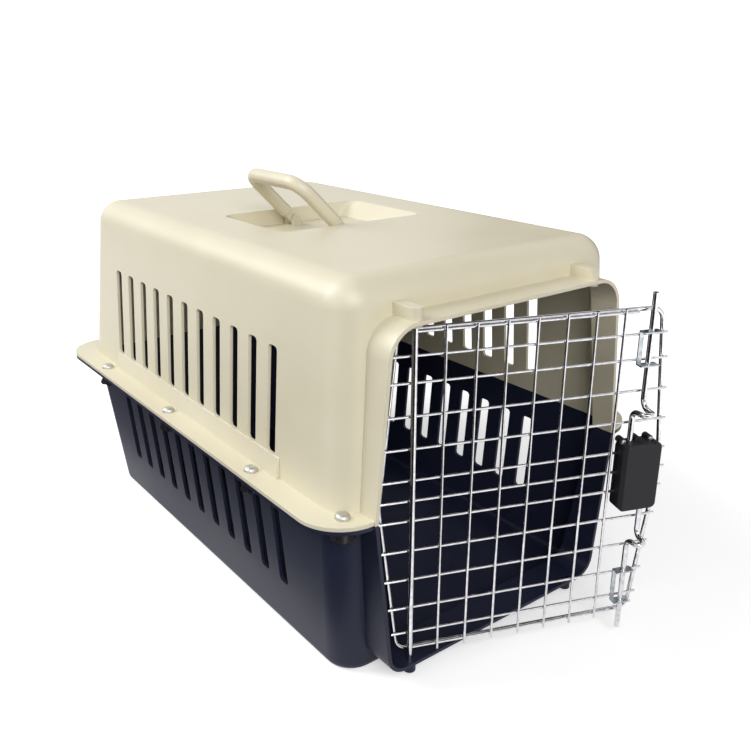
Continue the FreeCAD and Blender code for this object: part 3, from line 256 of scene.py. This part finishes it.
# Plating: drawing streaks of the metal below, and the cloudiness of the plated layer
CLOUD_SCALE = 210
STREAK_DEPTH = 0.00001
STREAK_STRENGTH = 0.5
METAL_EDGE = 0.0003
plating_group, plating_in, plating_out = new_group(
    "plating", {"Streaks": 900.0}, {"Streak": "NodeSocketFloat", "Cloud": "NodeSocketFloat"})
plating_place = plating_group.nodes.new("ShaderNodeTexCoord").outputs["Object"]
plating_group.links.new(noise(plating_group, plating_place, plating_in.outputs["Streaks"], 3),
                        plating_out.inputs["Streak"])
clouds = noise(plating_group, plating_place, CLOUD_SCALE, 4)
plating_group.links.new(remap(plating_group, clouds, 0.35, 0.70, 0, 1), plating_out.inputs["Cloud"])


def plated_metal(name, bright, dull, smooth, rough, streak_scale):
    """Plated or drawn metal: fine streaks and cloudy patches in its colour and gloss."""
    tree, shader = new_material(name)
    shader["Metallic"].default_value = 1
    plating = place_group(tree, plating_group, Streaks=streak_scale)
    tree.links.new(blend_colour(tree, plating["Cloud"], bright, dull), shader["Base Color"])
    tree.links.new(remap(tree, plating["Cloud"], 0, 1, smooth, rough), shader["Roughness"])
    relief = add_bump(tree, plating["Streak"], STREAK_DEPTH, STREAK_STRENGTH, METAL_EDGE)
    tree.links.new(relief, shader["Normal"])


plated_metal("zinc_plated_steel", bright=(0.66, 0.65, 0.62), dull=(0.50, 0.49, 0.46),
             smooth=0.36, rough=0.52, streak_scale=1400)
dress("zinc_plated_steel", "flange_bolts")
moulded_plastic("black_nylon", deep=(0.010, 0.010, 0.012), pale=(0.018, 0.018, 0.020),
                rubbed_highlight=(0.06, 0.06, 0.06), grain_scale=2200, grain_depth=0.00004,
                smooth=0.38, rough=0.52, edge_radius=0.0005)
dress("black_nylon", "flange_nuts")


# Carry handle: one solid moulding in the shell's cream plastic,
# sprung into the lugs of the dish by its four trunnions.
dress("cream_polypropylene", "carry_handle")


# Wire door: straightened mild steel wires, spot welded where they cross and then chromium plated.
# The frame wire is bent to the doorway, and the thick hinge rod is welded on in front.
plated_metal("chromium_plate", bright=(0.74, 0.73, 0.75), dull=(0.54, 0.53, 0.56),
             smooth=0.05, rough=0.15, streak_scale=1100)
uprights = sorted(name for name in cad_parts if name.startswith("upright_wire"))
crossings = sorted(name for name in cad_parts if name.startswith(("cross_wire", "double_wire")))
dress("chromium_plate", "door_frame", "hinge_rod", *uprights, *crossings)


# Weld nuggets: where an upright or the hinge rod crosses a cross wire, the steel was squeezed together
# and a little of it stands in the four corners. Each differs slightly in size.
NUGGET_RADIUS = 0.0015
NUGGET_THICKNESS = 0.0005
NUGGET_SPREAD = (0.85, 1.1)


def middle(node):
    low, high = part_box(node)
    return (low + high) / 2


def weld_nuggets(name, standing, crossing):
    """One mesh of flattened beads between standing wires and the cross wires that they meet."""
    dice = random.Random(name)
    beads = bmesh.new()
    for post in standing:
        for bar in crossing:
            low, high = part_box(bar)
            across = Vector((high.x - low.x, low.y - high.y, 0)).normalized()
            outward = across.cross(Vector((0, 0, 1)))
            place = middle(post)
            place.z = middle(bar).z
            gap = (middle(bar) - place).dot(outward)
            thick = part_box(post)[1].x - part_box(post)[0].x
            thin = high.z - low.z
            place += outward * gap * thick / (thick + thin)
            size = dice.uniform(*NUGGET_SPREAD)
            height = dice.uniform(*NUGGET_SPREAD)
            shape = Matrix((across, Vector((0, 0, 1)), outward)).transposed()
            shape = shape @ Matrix.Diagonal((NUGGET_RADIUS * size, NUGGET_RADIUS * height,
                                             NUGGET_THICKNESS * size))
            bmesh.ops.create_icosphere(beads, subdivisions=2, radius=1,
                                       matrix=Matrix.Translation(place) @ shape.to_4x4())
    for face in beads.faces:
        face.smooth = True
    mesh = bpy.data.meshes.new(name)
    beads.to_mesh(mesh)
    beads.free()
    mesh.materials.append(bpy.data.materials["chromium_plate"])
    piece = bpy.data.objects.new(name, mesh)
    bpy.context.scene.collection.objects.link(piece)
    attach(piece, "door")


weld_nuggets("upright_welds", uprights, crossings)
weld_nuggets("hinge_welds", ["hinge_rod"], crossings)


# Latch housing: a black plastic cover and back plate, screwed together over the three close cross wires.
# They hold the springs and the inner legs of both latch rods.
housing = moulded_plastic("black_plastic", deep=(0.009, 0.008, 0.011), pale=(0.014, 0.013, 0.016),
                          rubbed_highlight=(0.06, 0.06, 0.065), grain_scale=2400, grain_depth=0.00005,
                          smooth=0.40, rough=0.54, edge_radius=0.0006)
housing["Specular IOR Level"].default_value = 0.24
dress("black_plastic", "latch_housing", "latch_back_plate")
plated_metal("drawn_spring_steel", bright=(0.56, 0.55, 0.54), dull=(0.40, 0.39, 0.38),
             smooth=0.25, rough=0.45, streak_scale=2500)
dress("drawn_spring_steel", "housing_screws")


# Latch rods: thick chromium plated wire bent into finger loops, each with a pressed ring and a spring
# of bare drawn steel inside the housing.
dress("chromium_plate", "upper_latch_rod", "lower_latch_rod")
dress("zinc_plated_steel", "upper_spring_clip", "lower_spring_clip")
SPRING_WIRE = 0.0006
SPRING_TURNS = 9
CLOSED_TURNS = 1
TURN_STEPS = 28
WIRE_SIDES = 8


def coil_rise(turn, length):
    """Height of the wire's middle after some turns: closed turns at both ends, open ones between."""
    open_rise = length - SPRING_WIRE * (1 + 2 * CLOSED_TURNS)
    open_share = (turn - CLOSED_TURNS) / (SPRING_TURNS - 2 * CLOSED_TURNS)
    closed = min(turn, CLOSED_TURNS) + max(turn - SPRING_TURNS + CLOSED_TURNS, 0)
    return SPRING_WIRE * (0.5 + closed) + open_rise * min(max(open_share, 0), 1)


def wound_spring(name, node):
    """Coil with closed end turns in the CAD spring's place."""
    low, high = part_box(node)
    axis_place = middle(node)
    radius = (high.x - low.x - SPRING_WIRE) / 2
    coil = bmesh.new()
    rings = []
    for step in range(SPRING_TURNS * TURN_STEPS + 1):
        turn = step / TURN_STEPS
        angle = math.tau * turn
        outward = Vector((math.cos(angle), math.sin(angle), 0))
        centre = axis_place + outward * radius
        centre.z = low.z + coil_rise(turn, high.z - low.z)
        ring = []
        for side in range(WIRE_SIDES):
            around = math.tau * side / WIRE_SIDES
            offset = outward * math.cos(around) + Vector((0, 0, math.sin(around)))
            ring.append(coil.verts.new(centre + offset * SPRING_WIRE / 2))
        rings.append(ring)
    for first, second in zip(rings, rings[1:]):
        for side in range(WIRE_SIDES):
            following = (side + 1) % WIRE_SIDES
            coil.faces.new((first[side], second[side], second[following], first[following])).smooth = True
    coil.faces.new(rings[0])
    coil.faces.new(rings[-1][::-1])
    bmesh.ops.recalc_face_normals(coil, faces=coil.faces)
    mesh = bpy.data.meshes.new(name)
    coil.to_mesh(mesh)
    coil.free()
    mesh.materials.append(bpy.data.materials["drawn_spring_steel"])
    piece = bpy.data.objects.new(name, mesh)
    bpy.context.scene.collection.objects.link(piece)
    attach(piece, "door")
    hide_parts(node)
    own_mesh(piece)


wound_spring("upper_latch_coil", "upper_latch_spring")
wound_spring("lower_latch_coil", "lower_latch_spring")


# Rod guides: zinc-plated steel strip, pierced, folded and spot welded across two cross wires.
# Each keeps one latch rod in line as it slides.
plated_metal("zinc_plated_strip", bright=(0.52, 0.55, 0.57), dull=(0.36, 0.39, 0.42),
             smooth=0.20, rough=0.40, streak_scale=1300)
dress("zinc_plated_strip", "upper_rod_guide", "lower_rod_guide")


# Floor and background: white paper that stays white to the camera and in reflections,
# and still takes the carrier's shadow.
FLOOR_HALF = 6.0
FLOOR_BOUNCE = 0.30
FLOOR_WHITE = 0.82
FLOOR_LIFT = 0.46
FAR_LIFT = 0.90
LIFT_START = 0.45
LIFT_END = 1.3
floor_mesh = bpy.data.meshes.new("floor")
floor_mesh.from_pydata([(-FLOOR_HALF, -FLOOR_HALF, 0), (FLOOR_HALF, -FLOOR_HALF, 0),
                        (FLOOR_HALF, FLOOR_HALF, 0), (-FLOOR_HALF, FLOOR_HALF, 0)], [], [(0, 1, 2, 3)])
floor = bpy.data.objects.new("floor", floor_mesh)
floor.location.z = cad_low.z
bpy.context.scene.collection.objects.link(floor)


def seen_directly(tree):
    """1 for rays from the camera, a mirror or glass, and 0 for light on the object."""
    path = tree.nodes.new("ShaderNodeLightPath").outputs
    total = arithmetic(tree, "MAXIMUM", path["Is Camera Ray"], path["Is Glossy Ray"])
    return arithmetic(tree, "MAXIMUM", total, path["Is Transmission Ray"])


paper, paper_shader = new_material("floor_paper")
paper_shader["Roughness"].default_value = 0.9
paper_shader["Specular IOR Level"].default_value = 0.1
paper_shader["Emission Color"].default_value = (1, 1, 1, 1)
distance = paper.nodes.new("ShaderNodeVectorMath")
distance.operation = "LENGTH"
paper.links.new(paper.nodes.new("ShaderNodeTexCoord").outputs["Object"], distance.inputs[0])
lift = remap(paper, distance.outputs["Value"], LIFT_START, LIFT_END, FLOOR_LIFT, FAR_LIFT)
direct = seen_directly(paper)
paper.links.new(blend_colour(paper, direct, (FLOOR_BOUNCE,) * 3, (FLOOR_WHITE,) * 3),
                paper_shader["Base Color"])
paper.links.new(arithmetic(paper, "MULTIPLY", direct, lift), paper_shader["Emission Strength"])
floor_mesh.materials.append(bpy.data.materials["floor_paper"])

AMBIENT = 0.30
world = bpy.data.worlds.new("studio")
bpy.context.scene.world = world
world.use_nodes = True
sky = world.node_tree
sky.links.new(remap(sky, seen_directly(sky), 0, 1, AMBIENT, 1.0), sky.nodes["Background"].inputs["Strength"])
sky.nodes["Background"].inputs["Color"].default_value = (1, 1, 1, 1)


# Studio light: one softbox above the left rear and one at the front left,
# and dark cards that only reflections see, which give the chrome its dark edges.
SOFTBOX_SIZE = 1.4
SOFTBOX_AIM = (0, 0, 0.2)
CARD_BLACK = 0.02

def softbox(name, place, power):
    lamp = bpy.data.lights.new(name, "AREA")
    lamp.shape = "SQUARE"
    lamp.size = SOFTBOX_SIZE
    lamp.energy = power
    box = bpy.data.objects.new(name, lamp)
    box.location = place
    box.rotation_euler = (Vector(SOFTBOX_AIM) - Vector(place)).to_track_quat("-Z", "Y").to_euler()
    bpy.context.scene.collection.objects.link(box)


softbox("key", place=(-1.5, 1.2, 1.8), power=45)
softbox("front", place=(-0.9, -2.1, 1.6), power=42)

dark_tree, dark_shader = new_material("dark_card")
dark_shader["Base Color"].default_value = (CARD_BLACK, CARD_BLACK, CARD_BLACK, 1)
dark_shader["Roughness"].default_value = 0.9
dark_shader["Specular IOR Level"].default_value = 0
for name, place, size, facing in (
        ("floor_card", (-0.85, -0.35, 0.001), (1.3, 2.2), (0, 0, 1)),
        ("front_card", (-1.0, -1.6, 0.6), (1.4, 1.2), (1.0, 1.6, 0)),
        ("left_card", (-1.9, 1.2, 0.6), (2.4, 1.2), (1.9, -1.2, 0)),
        ("rear_card", (2.0, 0.55, 0.7), (2.0, 1.8), (-1.9, -0.9, 0)),
        ("top_card", (0.2, -0.4, 1.9), (1.8, 1.8), (0, 0, -1))):
    card_mesh = bpy.data.meshes.new(name)
    half, tall = size[0] / 2, size[1] / 2
    corners = [(-half, -tall, 0), (half, -tall, 0), (half, tall, 0), (-half, tall, 0)]
    card_mesh.from_pydata(corners, [], [(0, 1, 2, 3)])
    card_mesh.materials.append(bpy.data.materials["dark_card"])
    card = bpy.data.objects.new(name, card_mesh)
    card.location = place
    card.rotation_euler = Vector(facing).to_track_quat("Z", "Y").to_euler()
    card.visible_camera = False
    card.visible_diffuse = False
    card.visible_shadow = False
    card.visible_transmission = False
    bpy.context.scene.collection.objects.link(card)


# Camera: where the photograph was taken from.
LENS = 40.4
SENSOR_WIDTH = 36
CAMERA_PLACE = (-0.4927, -0.7347, 0.5040)
CAMERA_TILT = 69.60
CAMERA_HEADING = -37.53
camera = bpy.data.objects.new("camera", bpy.data.cameras.new("camera"))
camera.data.lens = LENS
camera.data.sensor_width = SENSOR_WIDTH
camera.location = CAMERA_PLACE
camera.rotation_euler = (math.radians(CAMERA_TILT), 0, math.radians(CAMERA_HEADING))
bpy.context.scene.collection.objects.link(camera)
bpy.context.scene.camera = camera
bpy.context.scene.view_settings.view_transform = "Standard"
